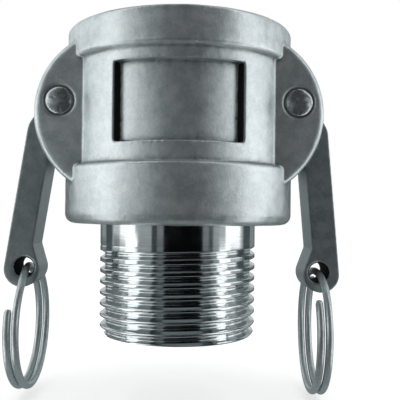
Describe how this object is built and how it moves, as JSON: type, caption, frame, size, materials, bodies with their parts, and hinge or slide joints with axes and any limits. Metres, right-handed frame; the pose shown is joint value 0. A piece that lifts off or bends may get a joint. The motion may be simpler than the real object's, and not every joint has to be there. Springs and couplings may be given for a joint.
{
  "type": "cam-and-groove hose coupling",
  "caption": "Female cam-and-groove hose coupling with a male taper pipe thread tail, cast socket, hinged cam arms on pivot pins, wire pull rings and a rubber gasket.",
  "frame": {"origin": "centre of the tail's end face, on the bore's axis", "axes": "+Z along the bore from the tail to the socket's mouth, X through the two arms' pivots with the left arm at -X, front towards -Y"},
  "size_m": [0.0694, 0.0474, 0.0748],
  "materials": {
    "cast_steel": "satin blasted stainless casting",
    "arm_steel": "tumbled stainless casting, darker grey",
    "pin_steel": "drawn stainless rod with domed ends",
    "wire_steel": "bright drawn stainless wire",
    "black_rubber": "matt moulded rubber"
  },
  "bodies": {
    "body": {"coupler_body": "cast_steel", "gasket": "black_rubber", "left_pivot_pin": "pin_steel", "right_pivot_pin": "pin_steel"},
    "left_arm": {"left_cam_arm": "arm_steel"},
    "right_arm": {"right_cam_arm": "arm_steel"},
    "left_ring": {"left_pull_ring": "wire_steel"},
    "right_ring": {"right_pull_ring": "wire_steel"}
  },
  "joints": [
    {"name": "left_arm_pivot", "type": "hinge", "parent": "body", "child": "left_arm", "pos_m": [-0.0233, 0, 0.0468], "axis": [0, 1, 0], "range_deg": [-12.2, 110.8]},
    {"name": "right_arm_pivot", "type": "hinge", "parent": "body", "child": "right_arm", "pos_m": [0.0233, 0, 0.0468], "axis": [0, -1, 0], "range_deg": [-8.1, 114.9]},
    {"name": "left_ring_swing", "type": "hinge", "parent": "left_arm", "child": "left_ring", "pos_m": [-0.03176, 0, 0.01363], "axis": [0, 1, 0], "range_deg": [-26, 165]},
    {"name": "right_ring_swing", "type": "hinge", "parent": "right_arm", "child": "right_ring", "pos_m": [0.02937, 0, 0.01311], "axis": [0, -1, 0], "range_deg": [-26, 165]}
  ]
}
